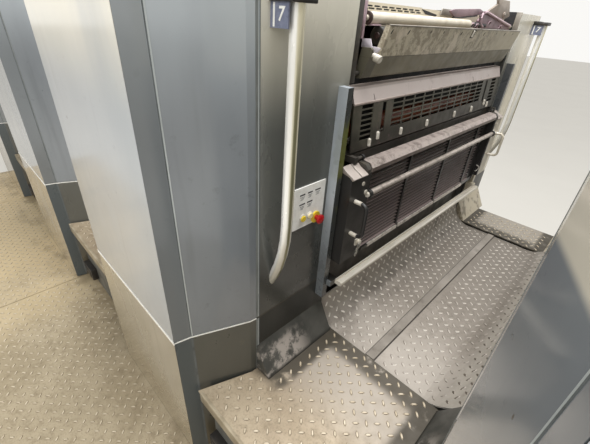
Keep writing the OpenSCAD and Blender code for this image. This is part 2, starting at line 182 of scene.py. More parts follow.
def cover_paint(name, light, dark, streak, low, high, foot=None, painted_top_light=None, coat=0.25, more=None):
    """Gloss enamel of the column covers: faint streaks, smudges and small dark chips, an optional
    painted highlight and reflection towards the top, and an optional colour towards the foot.
    """
    s = Surface(name, light, dark, 2.2, (1, 1, 0.35), 5, coat=coat)
    s.bsdf.inputs["Coat Roughness"].default_value = 0.12
    s.over(streak, s.patches(9, 3, 0.58, 0.8, 0.45, (1.6, 1.6, 0.12), 3))
    s.over(streak, s.ragged(26, 8, 0.6, 0.72, 0.3))
    chips = s.span(s.spots(15, (1, 1, 0.6)), 0.06, 0.02)
    s.over((58, 54, 46), chips, s.patches(4, 11, 0.5, 0.56), amount=0.8)
    # Painted highlight and reflection: the cover is painted lighter towards the top
    if painted_top_light:
        colour, z0, z1 = painted_top_light
        s.over(colour, s.along(Z, z0, z1), s.patches(3, 6, 0.1, 0.55, stretch=(1, 1, 0.3)))
    # Colour towards the foot; on the lower end covers and the inner panels it is painted reflection and
    # shade
    if foot:
        colour, z0, z1, amount = foot
        s.over(colour, s.below(Z, z0, z1), s.patches(5, 5, 0.1, 0.5), amount=amount)
    if more:
        more(s)
    s.done(s.noise(6, (1, 1, 0.5), 5, shift=2), low, high, 420, 0.05, 0.0004, 2)


def dull_paint(name, light, dark, grime, low=0.3, high=0.5, amount=0.6):
    """Worn machine enamel with greasy patches."""
    s = Surface(name, light, dark, 7, detail=5, specular=0.4)
    s.over(grime, s.ragged(18, 4, 0.5, 0.72, amount))
    s.over(grime, s.span(s.spots(60), 0.16, 0.05, 0, amount * 0.6))
    s.done(s.noise(22, shift=9), low, high, 260, 0.12, 0.0006)


def bare_metal(name, light, dark, grime, low, high, metallic=0.85, grain=(1, 1, 1)):
    """Steel or aluminium with handling marks and a fine grain."""
    s = Surface(name, light, dark, 14, grain, 5, metallic=metallic)
    s.over(grime, s.ragged(30, 6, 0.55, 0.75, 0.5, grain))
    s.done(s.noise(40, grain, shift=1), low, high, 500, 0.08, 0.0003, 2, grain)


def plastic(name, light, dark, low=0.25, high=0.4):
    s = Surface(name, light, dark, 60)
    s.done(s.noise(90, shift=3), low, high, 900, 0.04, 0.0002, 2)


def lug_metal(name, light, dark, worn, side, climb=None):
    """Tread lugs: polished tops, painted shade on their flanks, and a painted highlight on the climb of
    a footboard.
    """
    s = Surface(name, light, dark, 14, detail=5, metallic=0.15)
    s.over(worn, s.ragged(30, 6, 0.55, 0.75, 0.5))
    # Painted shade: the flanks, found by their normals, take the side colour
    s.over(side, s.flip(s.turned(Z, 0.72, 0.95)))
    if climb:
        # Painted highlight on the lugs of a footboard's climb
        s.over(climb, s.turned(X, 0.3, 0.6), s.along(Z, 0.064, 0.104))
    s.done(s.noise(40, shift=1), 0.3, 0.5, 500, 0.08, 0.0003, 2)


def tread_plate(name, light, dark, dirt, more, metallic=0.25):
    """The flat of the tread plate, where dirt settles between the lugs."""
    s = Surface(name, light, dark, 3, detail=6, rough=0.65, metallic=metallic)
    s.over(dirt, s.patches(34, 5, 0.46, 0.7, 0.55, detail=6, rough=0.75))
    s.over(dirt, s.patches(160, 2, 0.5, 0.72, 0.385, detail=3))
    more(s)
    s.done(s.noise(30, detail=5, shift=7), 0.42, 0.62, 340, 0.25, 0.0008, 4)


def drive_side_light(s):
    """The drive side stands in brighter light."""
    s.over((234, 226, 204), s.along(Y, 0.6, 0.9))


def corner_shades(s):
    """Duller chamfers on the operator side, painted shade on the corner covers of units 5 and 6, and a
    painted reflection on the bright upper part of the last unit's corner.
    """
    s.over((98, 102, 101), s.below(Y, -1.1405, -1.1395), s.below(X, 1.56, 1.58), amount=0.45)
    # Painted shade on units 5 and 6, away from the operator chamfers
    s.over((112, 115, 113), s.below(X, -0.6, -0.2), s.along(Y, -1.1395, -1.1385), amount=0.7)
    # Painted reflection high on the last unit's corner
    s.over((214, 208, 193), s.along(X, 1.56, 1.58), s.along(Z, 1.494, 1.510))


def low_corner_shades(s):
    """Bluer chamfers on the lower corner covers of the operator side."""
    s.over((76, 83, 85), s.below(Y, -1.1405, -1.1395))


def near_units(s, reach, soft):
    """High within reach of the units' faces on the walkways, where dirt gathers and, on the steps, where
    painted shade is laid.
    """
    bands = []
    for x in GAPS:
        for face in (x, x + GAP):
            low = s.along(X, (face - reach) * MM, (face - reach + soft) * MM)
            high = s.below(X, (face + reach - soft) * MM, (face + reach) * MM)
            bands.append(s.every([low, high]))
    return s.either(bands)


def gallery_dirt(s):
    s.over((205, 185, 146), s.below(X, -0.9, 0.5), s.patches(2.5, 4, 0.2, 0.6), amount=0.7)
    s.over((112, 98, 74), s.along(Y, -1.36, -1.20), s.patches(8, 1, 0.42, 0.66, detail=6), amount=0.5)


def step_dirt(s):
    """Dirt on the steps along the skirts, with painted shade beside the units, and along the ends of the
    footboards.
    """
    s.over((158, 149, 137), s.along(Y, -1, -0.76), s.patches(5, 4, 0.2, 0.5))
    s.over((146, 139, 128), s.along(Y, 0.2, 0.7))
    patchy = s.patches(16, 6, 0.22, 0.46, detail=5)
    # Dirt and painted shade: a near-black band beside the units' faces
    s.over((62, 56, 45), near_units(s, 138, 40), s.along(Y, -1, -0.92), patchy, amount=0.95)
    operator = s.every([s.along(Y, -0.735, -0.675), s.below(Y, 0, 0.1)])
    drive = s.every([s.along(Y, 0, 0.1), s.below(Y, 0.675, 0.735)])
    s.over((62, 56, 45), s.either([operator, drive]), patchy, amount=0.9)


def board_dirt(s):
    """Footboards: lighter towards the operator side, painted light on the climb, dirty beside the units.
    """
    s.over((172, 164, 154), s.below(Y, -0.5, -0.2), s.patches(4, 2, 0.2, 0.6), amount=0.7)
    s.over((118, 111, 102), s.along(Y, -0.5, 0.6))
    s.over((74, 68, 60), near_units(s, 110, 90), s.patches(12, 6, 0.4, 0.6, detail=5), amount=0.5)
    # Painted light: the climb is lightened out of the shadow of the toe rail and hood
    s.over((174, 167, 156), s.along(Z, 0.655, 0.70), s.patches(9, 1, 0.2, 0.5), amount=0.7)


def edge_bar_paint():
    """Blue-gray bar with darker inner face, dark lug and a yellow-green lubricant smear."""
    s = Surface("edge_bar_blue_gray", (176, 183, 189), (158, 165, 171), 6, (1, 1, 0.3), coat=0.2)
    s.over((66, 64, 58), s.ragged(24, 2, 0.6, 0.74, 0.6, (1, 1, 0.4)))
    s.over((104, 108, 110), s.below(Z, 0.95, 1.25))
    s.over((62, 64, 63), s.turned(X, 0.5, 0.8), s.below(Y, 0, 0.1))
    s.over((92, 96, 99), s.along(Y, 0, 0.1))
    s.over((44, 42, 39), s.along(Y, -0.6585, -0.6575), s.below(Y, 0.6575, 0.6585))
    s.over((205, 196, 175), s.along(Y, 0, 0.1), s.below(Z, 1.20, 1.28))
    s.over((104, 107, 44), s.along(Z, 1.12, 1.24), s.below(Z, 1.42, 1.52), s.below(Y, -0.2, -0.1),
           s.patches(14, 6, 0.4, 0.56, stretch=(1, 1, 0.5), detail=5),
           s.turned(X, -0.4, 0.6), amount=0.7)
    s.done(s.noise(20, shift=4), 0.22, 0.42, 300, 0.06, 0.0004, 4)


def skirt_paint():
    """Kick skirts: near black, scuffed light low on the operator side, and painted light making the
    drive side paler.
    """
    s = Surface("skirt_dark", (78, 77, 72), (58, 58, 54), 9, detail=5, specular=0.45)
    s.over((160, 152, 143), s.below(Y, -0.84, -0.70), s.ragged(14, 3, 0.40, 0.58),
           s.below(Z, 0.72, 0.78), amount=0.9)
    s.over((40, 38, 34), s.below(Z, 0.662, 0.676))
    # Painted light: the drive side paler, as in brighter light
    s.over((190, 180, 158), s.along(Y, 0, 0.1))
    s.over((132, 122, 104), s.along(Y, 0, 0.1), s.patches(22, 8, 0.5, 0.65, detail=5))
    s.done(s.noise(20, shift=4), 0.3, 0.5, 260, 0.12, 0.0006)


def handrail_metal():
    """Polished tube: near white as a painted highlight, bright towards the operator side, with an olive
    band of painted reflection where it turns away.
    """
    s = Surface("handrail_bright", (250, 249, 244), (238, 236, 230), 14, (1, 1, 0.15), 5,
                metallic=0.35, specular=0.6)
    # Painted highlight and reflection: the tube's colour follows which way its surface faces
    s.over((176, 173, 161), s.below(Z, 0.98, 1.34), s.turned(X, -0.4, 0.3), amount=0.9)
    s.over((222, 216, 190), s.turned(X, 0.62, 0.82), s.along(Z, 1.1, 1.4))
    s.over((138, 134, 104), s.turned(X, 0.84, 0.92), s.flip(s.turned(Y, 0.02, 0.16)),
           s.below(Z, 1.52, 1.70))
    s.over((150, 142, 124), s.ragged(40, 6, 0.62, 0.76, 0.4, (1, 1, 0.3)))
    s.done(s.noise(40, (1, 1, 0.15), shift=1), 0.16, 0.28, 500, 0.05, 0.0002, 2, (1, 1, 0.2))


def grille_paint():
    """Near black grille: brown dust, a painted highlight on the slats' upward faces, black ribs and end
    boxes, and a drive end painted lighter as painted light.
    """
    s = Surface("guard_black", (42, 38, 36), (31, 28, 27), 7, detail=5, specular=0.4)
    s.over((62, 54, 51), s.ragged(18, 4, 0.52, 0.72, 0.6))
    # Painted highlight on the upward faces of the slats
    s.over((152, 136, 132), s.turned(Z, 0.4, 0.8))
    for rib in (-242, 92, 420):
        s.over((26, 24, 22), s.along(Y, (rib - 6.6) * MM, (rib - 6.2) * MM),
               s.below(Y, (rib + 6.2) * MM, (rib + 6.6) * MM))
    s.over((40, 39, 38), s.below(Y, -0.504, -0.503))
    s.over((40, 39, 38), s.along(Y, 0.503, 0.504))
    # Painted light: the drive end lighter, as in brighter light
    s.over((190, 182, 164), s.along(Y, 0.572, 0.576))
    s.done(s.noise(22, shift=9), 0.28, 0.46, 260, 0.12, 0.0006)


def flap_paint():
    """Olive-gray flap, its upper leaf painted lighter as painted light and brown with old ink and
    grease, with painted shade along the fold.
    """
    s = Surface("flap_olive_gray", (136, 129, 109), (116, 110, 92), 5, (1, 1, 0.5), 5, specular=0.45)
    s.over((92, 88, 74), s.below(Y, -0.5345, -0.5335))
    # Painted light: the upper leaf lighter than the lower one
    leaf = s.every([s.along(Z, 1.6125, 1.6145), s.along(Y, -0.534, -0.531)])
    s.over((196, 187, 165), leaf)
    mottle = s.patches(30, 3, 0.44, 0.58, detail=7, rough=0.75)
    s.over((138, 127, 108), leaf, mottle, s.below(Y, 0.1, 0.5), amount=0.75)
    # Painted shade: a dark line in the crease of the fold
    s.over((86, 80, 66), s.along(Z, 1.6115, 1.6130), s.below(Z, 1.6140, 1.6155), amount=0.8)
    s.over((224, 212, 192), leaf, s.patches(11, 9, 0.56, 0.66, detail=5), amount=0.6)
    s.over((66, 58, 48), s.patches(60, 5, 0.6, 0.76, 0.6, detail=5, rough=0.7))
    s.done(s.noise(30, shift=1), 0.3, 0.52, 200, 0.12, 0.0006, 4)


def vent_paint():
    """Vented guard: pinkish gray hood above, dark olive face below."""
    s = Surface("vent_guard_paint", (84, 81, 70), (68, 66, 57), 8, specular=0.45)
    s.over((44, 41, 35), s.below(Z, 1.38, 1.44), s.patches(10, 4, 0.2, 0.5), amount=0.9)
    s.over((188, 176, 170), s.along(Z, 1.4905, 1.4925))
    s.over((150, 138, 130), s.along(Z, 1.526, 1.532), s.patches(6, 7, 0.2, 0.5), amount=0.9)
    s.over((120, 100, 96), s.ragged(26, 8, 0.56, 0.74, 0.5))
    s.done(s.noise(24, shift=2), 0.3, 0.5, 240, 0.1, 0.0005)


def trim_metal():
    """Bare lower hood, worn pinkish, and the lighter grab rail and foot strips."""
    s = Surface("guard_trim_metal", (188, 178, 168), (162, 152, 142), 12, (1, 0.2, 1), metallic=0.35)
    s.over((178, 165, 158), s.along(Z, 1.29, 1.30), s.patches(7, 2, 0.25, 0.55), amount=0.9)
    s.over((96, 82, 75), s.turned(X, 0.85, 0.97), s.along(Z, 1.29, 1.30), amount=0.85)
    s.over((216, 207, 198), s.below(Z, 0.980, 0.985))
    s.over((98, 86, 80), s.patches(30, 5, 0.46, 0.66, 0.75, detail=6, rough=0.75))
    s.over((52, 48, 44), s.below(Y, -0.462, -0.456), s.below(Z, 0.980, 0.985))
    s.done(s.noise(30, shift=3), 0.3, 0.5, 320, 0.12, 0.0005)


def top_cover_paint():
    """Dusty enamel on top of the units, the strip and beam ends towards the guards lighter."""
    s = Surface("top_cover_gray", (158, 154, 145), (142, 138, 129), 3, detail=5, low=0.3, high=0.7,
                specular=0.3)
    s.over((122, 114, 101), s.ragged(24, 4, 0.55, 0.8, 0.35))
    s.over((222, 213, 192), s.turned(X, 0.7, 0.9))
    s.done(s.noise(20, shift=2), 0.5, 0.66, 260, 0.1, 0.0005)


def housing_paint():
    """Cast column cores, their tops painted like the corner covers."""
    s = Surface("housing_gray", (84, 84, 79), (66, 66, 63), 7, detail=5, specular=0.4)
    s.over((54, 48, 40), s.ragged(18, 4, 0.5, 0.72, 0.6))
    upward = s.every([s.turned(Z, 0.7, 0.9), s.along(Z, 1.5, 1.6)])
    s.over((116, 121, 124), upward)
    s.over((98, 98, 93), upward, s.patches(9, 7, 0.5, 0.7, detail=6), amount=0.5)
    s.done(s.noise(22, shift=9), 0.35, 0.5, 260, 0.12, 0.0006)


# Two main colours, the colour of streaks or grime, roughness from and to, then the amount of grime
# for dull paint, the metallic share and the grain for metal
# End covers: the pale colour for the top is a painted highlight and reflection
cover_paint("cover_light_gray", (182, 186, 190), (170, 176, 181), (150, 152, 152), 0.12, 0.26,
            painted_top_light=((240, 234, 216), 1.49, 1.74), coat=0.6)
# Lower end covers: the beige, deepening towards the foot, is a painted reflection of a tan floor
cover_paint("cover_light_gray_low", (174, 167, 153), (155, 147, 128), (120, 110, 90), 0.14, 0.3,
            foot=((134, 121, 94), 0.34, 0.74, 0.7), coat=0.6)
# Corner covers: the pale colour for the top is a painted reflection; corner_shades adds painted shade
# and reflection
cover_paint("cover_blue_gray", (128, 133, 137), (110, 115, 120), (84, 88, 90), 0.1, 0.24,
            painted_top_light=((170, 177, 181), 1.45, 1.78), coat=0.9, more=corner_shades)
cover_paint("cover_blue_gray_low", (88, 88, 82), (74, 74, 68), (104, 98, 82), 0.24, 0.42,
            foot=((92, 82, 62), 0.32, 0.6, 0.8), more=low_corner_shades)
# Inner panels: darker low down and lighter at the top, as painted shade and reflection; drive_side_light
# paints the drive side lighter
cover_paint("panel_dark_gray", (98, 100, 96), (84, 86, 83), (116, 114, 104), 0.2, 0.36, coat=0.4,
            foot=((51, 53, 50), 1.02, 1.32, 1), painted_top_light=((216, 212, 196), 1.45, 1.74),
            more=drive_side_light)
cover_paint("panel_dark_gray_low", (43, 44, 41), (34, 35, 33), (72, 68, 59), 0.3, 0.5,
            foot=((78, 71, 59), 0.62, 0.86, 0.5), coat=0)
for row in (
    ("cast_gray", (84, 84, 79), (66, 66, 63), (54, 48, 40), 0.4, 0.6),
    ("riser_gray", (100, 100, 95), (80, 80, 76), (70, 62, 50), 0.4, 0.6),
    ("roller_copper_red", (166, 92, 62), (128, 62, 42), (74, 34, 24), 0.25, 0.45),
    # Painted shade for the creases of the cover folds
    ("fold_groove_dark", (96, 101, 102), (82, 87, 88), (58, 60, 58), 0.4, 0.6),
    ("slot_black", (16, 15, 14), (10, 10, 9), (24, 22, 18), 0.6, 0.8),
    ("guard_dark", (64, 60, 54), (46, 44, 40), (92, 84, 70), 0.35, 0.55),
    ("small_black_parts", (52, 49, 46), (38, 36, 34), (84, 76, 66)),
    ("roller_cover_cream", (212, 204, 188), (202, 193, 175), (168, 154, 130), 0.4, 0.55, 0.4),
    ("mauve_metal", (150, 124, 130), (124, 100, 108), (92, 72, 74)),
    ("mauve_light", (196, 172, 178), (172, 148, 156), (128, 104, 108)),
    ("clamp_brown", (84, 66, 58), (60, 46, 42), (126, 108, 98)),
    ("hood_lip", (198, 184, 176), (176, 162, 154), (128, 112, 106)),
    ("box_top_gray", (176, 166, 158), (152, 142, 134), (110, 98, 90)),
    ("fold_strip_gray", (120, 124, 122), (104, 108, 107), (84, 84, 78), 0.3, 0.45, 0.4),
    ("duct_taupe", (150, 138, 126), (126, 115, 104), (88, 78, 68), 0.35, 0.5, 0.5),
    ("bracket_lavender", (208, 201, 208), (188, 181, 188), (128, 120, 126), 0.3, 0.45, 0.4),
    ("board_joint_strip", (142, 135, 126), (124, 117, 108), (86, 78, 68), 0.35, 0.55),
):
    dull_paint(*row)
for row in (
    ("rail_steel", (196, 193, 186), (168, 165, 157), (122, 114, 100), 0.2, 0.36, 0.85, (1, 1, 0.2)),
    ("rail_aluminium", (226, 219, 206), (200, 193, 178), (138, 126, 106), 0.28, 0.46, 0.3, (1, 0.15, 1)),
    ("cylinder_chrome", (150, 148, 144), (118, 116, 110), (70, 62, 52), 0.12, 0.3),
    ("cover_gray_metal", (164, 158, 148), (140, 134, 124), (104, 94, 80), 0.3, 0.5, 0.35),
    ("seam_lip", (254, 253, 247), (244, 242, 234), (190, 182, 164), 0.25, 0.4, 0.05),
    ("step_nosing", (168, 156, 134), (142, 130, 108), (96, 86, 68), 0.35, 0.5, 0.2),
    ("board_rim", (190, 185, 176), (164, 158, 149), (112, 104, 92), 0.3, 0.5, 0.2),
    # Painted highlight for the fold edges
    ("fold_edge_highlight", (190, 196, 196), (170, 176, 176), (126, 126, 120), 0.25, 0.4, 0.2, (1, 1, 0.1)),
):
    bare_metal(*row)
for row in (
    ("sign_blue_gray", (120, 125, 146), (106, 112, 132)),
    ("plate_white", (250, 249, 244), (240, 238, 232), 0.3, 0.45),
    ("mark_black", (38, 38, 40), (26, 26, 28), 0.4, 0.6),
    ("mark_gray", (132, 132, 132), (118, 118, 118), 0.4, 0.6),
    ("digit_white", (236, 236, 232), (224, 224, 220), 0.35, 0.5),
    ("button_yellow", (232, 206, 66), (222, 192, 48)),
    ("button_cream", (240, 228, 182), (228, 214, 164)),
    ("button_red", (176, 26, 30), (150, 18, 24), 0.2, 0.34),
    ("pin_white", (214, 208, 196), (194, 188, 174)),
):
    plastic(*row)
tread_plate("tread_tan", (172, 159, 134), (154, 141, 116), (116, 102, 78), gallery_dirt)
tread_plate("tread_step_tan", (164, 150, 127), (146, 131, 109), (106, 92, 70), step_dirt)
tread_plate("tread_steel", (150, 142, 132), (132, 124, 114), (96, 88, 77), board_dirt, metallic=0.2)
# The fourth colour of each is painted shade for the flanks; the climb colour is a painted highlight
lug_metal("lug_tan", (200, 188, 164), (182, 169, 145), (150, 135, 108), (118, 104, 80))
lug_metal("lug_step", (194, 181, 159), (176, 162, 139), (138, 124, 101), (100, 88, 68))
lug_metal("lug_steel", (186, 178, 168), (166, 158, 148), (124, 116, 104), (94, 86, 76),
          climb=(228, 222, 211))
for paint in (edge_bar_paint, skirt_paint, handrail_metal, grille_paint, flap_paint, vent_paint,
              trim_metal, top_cover_paint, housing_paint):
    paint()

# CAD nodes of each finish; the guards' nodes are named once for all units
CAD_FINISH = {
    "cast_gray": "unit_bases bridge_beds gallery_frame side_frames",
    "housing_gray": "column_housings",
    "cover_light_gray": "upper_end_covers",
    "cover_light_gray_low": "lower_end_covers",
    "cover_blue_gray": "upper_corner_covers",
    "cover_blue_gray_low": "lower_corner_covers",
    "panel_dark_gray": "upper_inner_panels",
    "panel_dark_gray_low": "lower_inner_panels",
    "skirt_dark": "kick_skirts",
    "tread_tan": "gallery_plates",
    "tread_step_tan": "step_plates",
    "riser_gray": "step_risers",
    "tread_steel": "footboards",
    "board_joint_strip": "joint_bars",
    "rail_aluminium": "toe_rails",
    "handrail_bright": "handrails",
    "sign_blue_gray": "number_plates",
    "plate_white": "control_panels",
    "button_yellow": "panel_buttons",
    "edge_bar_blue_gray": "edge_bars",
    "guard_dark": "hinge_pins cylinder_guards plain_guards",
    "cylinder_chrome": "press_cylinders",
    "roller_copper_red": "ink_rollers",
    "top_cover_gray": "top_covers",
    "roller_cover_cream": "roller_tubes",
    "mauve_metal": "ink_duct_arms",
    "flap_olive_gray": "top_flap",
    "vent_guard_paint": "upper_guard",
    "guard_black": "lower_guard",
    "guard_trim_metal": "guard_trim",
}
FINISH_OF = {node: finish for finish, nodes in CAD_FINISH.items() for node in nodes.split()}
for name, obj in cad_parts.items():
    finish = FINISH_OF.get(name) or FINISH_OF[name.split("_", 1)[1]]
    if not obj.material_slots:
        obj.data.materials.append(M[finish])
    for material_slot in obj.material_slots:
        material_slot.material = M[finish]


# ---------------- mesh building
class Shape:
    """Solids gathered into one mesh: x and y in millimetres, heights above the gallery."""

    def __init__(self):
        self.verts = []
        self.faces = []

    def add(self, verts, faces):
        start = len(self.verts)
        self.verts += [tuple(v) for v in verts]
        self.faces += [tuple(start + k for k in face) for face in faces]

    def loft(self, rings):
        """Closed skin through rings of the same number of points, capped at both ends."""
        n = len(rings[0])
        verts = [p for ring in rings for p in ring]
        faces = [tuple(reversed(range(n)))]
        for r in range(len(rings) - 1):
            for k in range(n):
                a, b = r * n + k, r * n + (k + 1) % n
                faces.append((a, b, b + n, a + n))
        faces.append(tuple((len(rings) - 1) * n + k for k in range(n)))
        self.add(verts, faces)

    def box(self, x0, x1, y0, y1, h0, h1):
        (x0, x1), (y0, y1) = sorted((x0, x1)), sorted((y0, y1))
        ring = [(x0, y0), (x1, y0), (x1, y1), (x0, y1)]
        self.loft([[(x, y, h) for x, y in ring] for h in (h0, h1)])

    def across(self, outline, y0, y1):
        """Outline in x and height, drawn from y0 to y1."""
        self.loft([[(x, y, h) for x, h in outline] for y in sorted((y0, y1))])

    def facing(self, outline, x0, x1):
        """Outline in y and height, drawn from x0 to x1."""
        self.loft([[(x, y, h) for y, h in outline] for x in (x0, x1)])

    def tube(self, path, radius, sides=14):
        """Round bar through the points of a path, its radius given once or point by point."""
        points = [Vector(p) for p in path]
        radii = radius if isinstance(radius, (list, tuple)) else [radius] * len(points)
        rings = []
        normal = None
        for k, p in enumerate(points):
            before = points[max(k - 1, 0)]
            after = points[min(k + 1, len(points) - 1)]
            t = (after - before).normalized()
            if normal is None:
                normal = t.orthogonal().normalized()
            normal = (normal - t * normal.dot(t)).normalized()
            side = t.cross(normal)
            rings.append([
                tuple(p + (normal * math.cos(a) + side * math.sin(a)) * radii[k])
                for a in (2 * math.pi * q / sides for q in range(sides))
            ])
        self.loft(rings)

    def rod(self, start, end, radius, edge, sides=20):
        """Straight pin, its ends eased by edge."""
        a, b = Vector(start), Vector(end)
        t = (b - a).normalized()
        self.tube([a, a + t * edge, b - t * edge, b],
                  [radius - edge, radius, radius, radius - edge], sides)

    def make(self, name, finish, unit=None, guard=None, bevel=0, angle=35):
        """A piece of the frame or of one of a unit's guards; with a unit, x counts from its middle."""
        body = f"unit{unit}_{guard}" if guard else "press_frame"
        name = f"unit{unit}_{name}" if unit else name
        mesh = bpy.data.meshes.new(name)
        mesh.from_pydata([(x * MM, y * MM, h * MM) for x, y, h in self.verts], [], self.faces)
        bm = bmesh.new()
        bm.from_mesh(mesh)
        bmesh.ops.recalc_face_normals(bm, faces=bm.faces)
        if bevel:
            sharp = [e for e in bm.edges if len(e.link_faces) == 2
                     and e.calc_face_angle(0) > math.radians(30)]
            bmesh.ops.bevel(bm, geom=sharp, offset=bevel * MM, segments=2, profile=0.5,
                            affect="EDGES", clamp_overlap=True)
        bm.to_mesh(mesh)
        bm.free()
        mesh.materials.append(M[finish])
        mesh.shade_smooth()
        mesh.set_sharp_from_angle(angle=math.radians(angle))
        obj = add_object(name, mesh)
        obj.location = (UNITS.get(unit, 0) * MM, 0, DECK * MM)
        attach(obj, body)
        return obj


def add_object(name, data):
    obj = bpy.data.objects.new(name, data)
    bpy.context.scene.collection.objects.link(obj)
    return obj


def shapes(count):
    return [Shape() for _ in range(count)]


# ---------------- tread lugs
AXES = (Vector((1, 0, 0)), Vector((0, 1, 0)), Vector((0, 0, 1)))
LUG_GRID = 23.2           # a lug on every second crossing of this grid, about 33 apart
LUG_OUTLINE = [(-13, 0), (-6, -4.4), (6, -4.4), (13, 0), (6, 4.4), (-6, 4.4)]
LUG_TOP = 0.6             # share of the outline that is left at the top
LUG_HEIGHT = 1.6
LUG_ROOT = 0.4            # reach down into the plate


def lug(shape, origin, along, side, up, turn):
    """One lens-shaped lug standing on a plate."""
    c, s = math.cos(turn), math.sin(turn)
    u = along * c + side * s
    v = side * c - along * s
    low = [tuple(origin + u * a + v * b - up * LUG_ROOT) for a, b in LUG_OUTLINE]
    high = [tuple(origin + (u * a + v * b) * LUG_TOP + up * LUG_HEIGHT) for a, b in LUG_OUTLINE]
    n = len(LUG_OUTLINE)
    faces = [(k, (k + 1) % n, n + (k + 1) % n, n + k) for k in range(n)]
    faces.append(tuple(n + k for k in range(n)))
    shape.add(low + high, faces)


def grid(x0, x1, y0, y1):
    """Lug centres of one rolled pattern, with the way each lug is turned."""
    for i in range(math.floor(x0 / LUG_GRID), math.ceil(x1 / LUG_GRID) + 1):
        for j in range(math.floor(y0 / LUG_GRID), math.ceil(y1 / LUG_GRID) + 1):
            if (i + j) % 2:
                continue
            x, y = i * LUG_GRID, j * LUG_GRID
            if x0 <= x <= x1 and y0 <= y <= y1:
                yield x, y, math.radians(45 if i % 2 else -45)


def gallery_lugs():
    shape = Shape()
    seams = [x + 300 for x in list(UNITS.values())[:3]]
    bare = 18             # edge without lugs
    x_end = 1.5 * PITCH + HALF - bare
    for x, y, turn in grid(-x_end, x_end, -PRESS - GALLERY + bare, -1118):
        if any(abs(x - seam) < 17 for seam in seams):
            continue
        if y > -PRESS - 16 and any(abs(x - c) < HALF + 30 for c in UNITS.values()):
            continue
        lug(shape, Vector((x, y, 0)), *AXES, turn)
    shape.make("gallery_tread_lugs", "lug_tan", angle=20)


def step_lugs():
    shape = Shape()
    for x0 in GAPS:
        for side in SIDES:
            reach = 1130 if side < 0 else 880
            for x, y, turn in grid(-50, GAP + 50, 648, reach):
                edge = 14 if y > 972 else 80            # wider beside the skirts
                if y > 985:
                    edge -= 69.5 * (y - 977) / 163      # along the angled panels
                if edge <= x <= GAP - edge:
                    lug(shape, Vector((x0 + x, side * y, STEP)), *AXES, turn)
    shape.make("step_tread_lugs", "lug_step", angle=20)


def board_profile():
    """Top line of a footboard: the climb, the flat and the soft rise."""
    climb = [math.radians(7.5 * k) for k in range(13)]
    rise = [k / 8 for k in range(9)]
    return ([(100 - 104 * math.cos(a), 473 - 125 * math.sin(a)) for a in climb]
            + [(430 + 132 * s, 348 + 94 * s * s) for s in rise])


def board_lugs():
    shape = Shape()
    profile = board_profile()
    lengths = [0]
    for a, b in zip(profile, profile[1:]):
        lengths.append(lengths[-1] + math.dist(a, b))
    for x0 in GAPS:
        for s, y, turn in grid(14, lengths[-1] - 12, -INNER + 24, INNER - 24):
            k = max(q for q in range(len(lengths) - 1) if lengths[q] <= s)
            a, b = profile[k], profile[k + 1]
            f = (s - lengths[k]) / (lengths[k + 1] - lengths[k])
            x, h = a[0] + f * (b[0] - a[0]), a[1] + f * (b[1] - a[1])
            if 203 < x < 272:       # under the joint bar
                continue
            along = Vector((b[0] - a[0], 0, b[1] - a[1])).normalized()
            up = Vector((-along.z, 0, along.x))
            lug(shape, Vector((x0 + x, y, h)), along, AXES[1], up, turn)
    shape.make("footboard_tread_lugs", "lug_steel", angle=20)


# ---------------- covers, signs and steps
COLUMN = [(HALF, PRESS - 229), (HALF - 3, PRESS - 208), (HALF - 69.5, PRESS - 45), (HALF - 79.5, PRESS)]
CREASE = 947.3            # fold line beside the angled panels


def fold_lines():
    """The light and dark lines at the folds and joints of the column covers, as painted highlight and
    painted shade.
    """
    folds, grooves, strips, fills = shapes(4)
    fold = Vector(COLUMN[2])
    toward = (Vector(COLUMN[1]) - fold).normalized()
    outward = Vector((-toward.y, toward.x))
    lower, upper = (4, SEAM - 4), (SEAM + 4, 1460)
    for cx, side, end in itertools.product(UNITS.values(), SIDES, (-1, 1)):
        line = folds if cx > 0 else strips
        x = cx + end * HALF
        near, out = x - end * 2, x + end * 0.6
        for h0, h1 in (lower, upper):
            if side < 0:        # dark, light and gray line beside each other
                # Painted shade, painted highlight and a gray line at the fold
                for strip, a, b in ((grooves, -2.9, 0), (line, 0, 2.9), (strips, 2.9, 9.5)):
                    strip.box(near, out, -CREASE - a, -CREASE - b, h0, h1)
            # The second band is painted shade on the lower covers and, on the upper ones, the same line
            # as at the fold
            worn = grooves if h0 < SEAM else line
            for strip, a, b in ((grooves, 0.6, 3.4), (worn, 3.4, 6.4)):
                ring = [fold + toward * a - outward, fold + toward * b - outward,
                        fold + toward * b + outward * 0.45, fold + toward * a + outward * 0.45]
                strip.loft([[(cx + end * q.x, side * q.y, h) for q in ring] for h in (h0, h1)])
        fills.box(x - end * 4, x + end * 0.25, side * (INNER + 2), side * 955, SEAM - 3.4, SEAM + 3.4)
    folds.make("panel_fold_edges", "fold_edge_highlight")
    grooves.make("panel_fold_grooves", "fold_groove_dark")
    strips.make("panel_fold_strips", "fold_strip_gray")
    fills.make("panel_seam_strips", "panel_dark_gray_low")


def seam_lips():
    """Folded edge of the lower covers round each column, wider on the end faces."""
    shape = Shape()
    half = COLUMN + [(-x, y) for x, y in reversed(COLUMN)]
    edges = list(zip(half, half[1:]))
    for cx, side, ((xa, ya), (xb, yb)) in itertools.product(UNITS.values(), SIDES, edges):
        inward = Vector((ya - yb, xb - xa)).normalized()
        on_end = min(ya, yb) > PRESS - 1
        proud, foot = (1.2, 8.5) if on_end else (0.2, 3.2)
        front, back = inward * -proud, inward * 7
        ring = [(xa + front.x, ya + front.y), (xb + front.x, yb + front.y),
                (xb + back.x, yb + back.y), (xa + back.x, ya + back.y)]
        shape.loft([[(cx + x, side * y, h) for x, y in ring] for h in (SEAM - foot, SEAM - 0.2)])
    shape.make("cover_seam_lips", "seam_lip")


